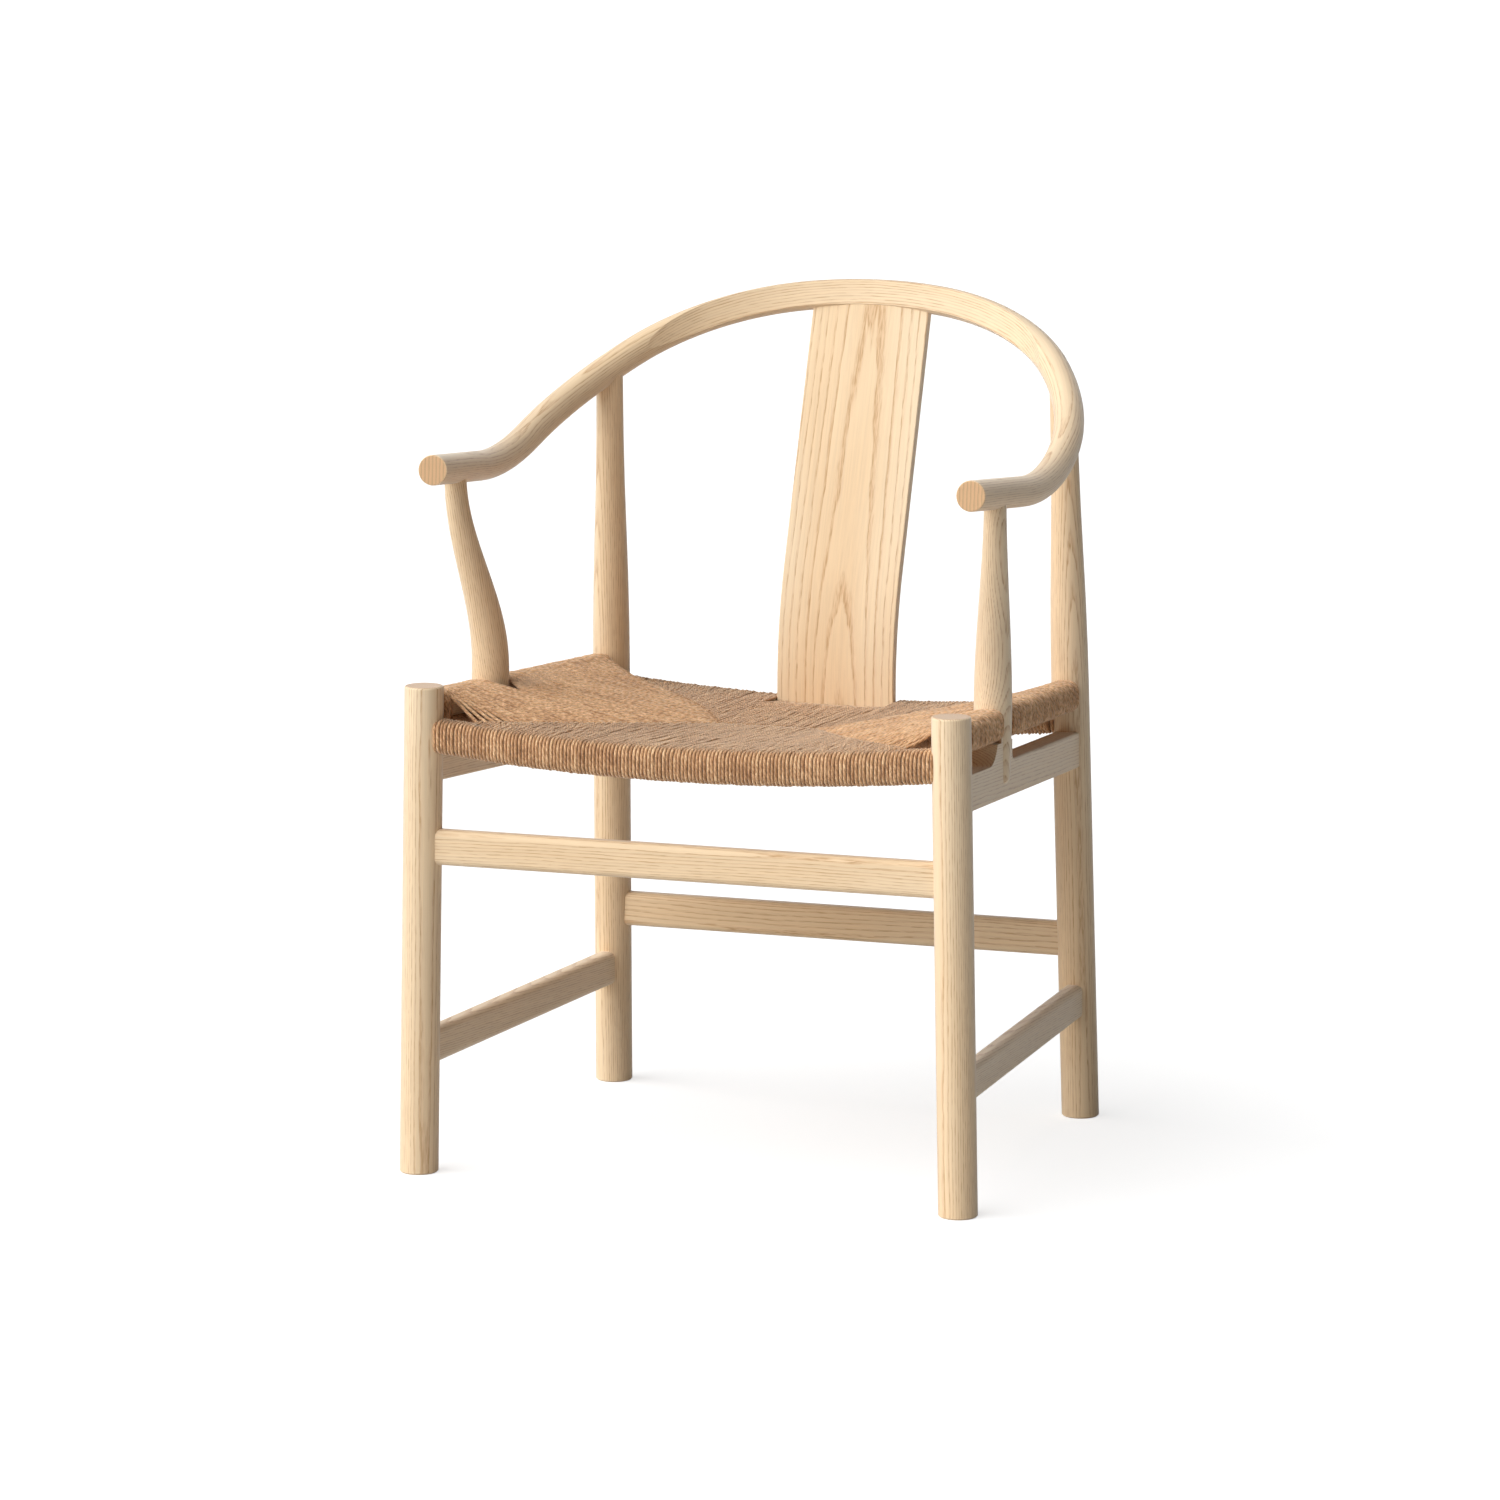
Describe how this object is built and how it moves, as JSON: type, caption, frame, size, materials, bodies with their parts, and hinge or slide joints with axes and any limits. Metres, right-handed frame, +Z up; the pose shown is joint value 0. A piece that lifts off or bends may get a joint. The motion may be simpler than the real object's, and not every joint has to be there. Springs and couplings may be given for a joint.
{
  "type": "horseshoe back armchair",
  "caption": "Horseshoe back armchair: a round ash bow carried by rear posts, curved arm posts and a bent splat, over a woven paper cord seat on round legs with stretchers.",
  "frame": {"origin": "middle of the footprint on the floor, under the centre of the bounding box", "axes": "+Z up; the sitter faces -Y; +X is the right hand side seen from the front; the chair is mirror symmetric about X = 0"},
  "size_m": [0.577, 0.576, 0.8079],
  "materials": {
    "ash": "pale soaped ash, satin",
    "paper_cord": "natural twisted paper cord, matte"
  },
  "bodies": {
    "root": {"front_leg_left": "ash", "front_leg_right": "ash", "rear_post_left": "ash", "rear_post_right": "ash", "arm_post_left": "ash", "arm_post_right": "ash", "back_bow": "ash", "back_splat": "ash", "front_seat_rail": "ash", "rear_seat_rail": "ash", "side_seat_rail_left": "ash", "side_seat_rail_right": "ash", "side_apron_left": "ash", "side_apron_right": "ash", "front_stretcher": "ash", "rear_stretcher": "ash", "side_stretcher_left": "ash", "side_stretcher_right": "ash", "seat_weave_front": "paper_cord", "seat_weave_rear": "paper_cord", "seat_weave_left": "paper_cord", "seat_weave_right": "paper_cord"}
  },
  "joints": []
}
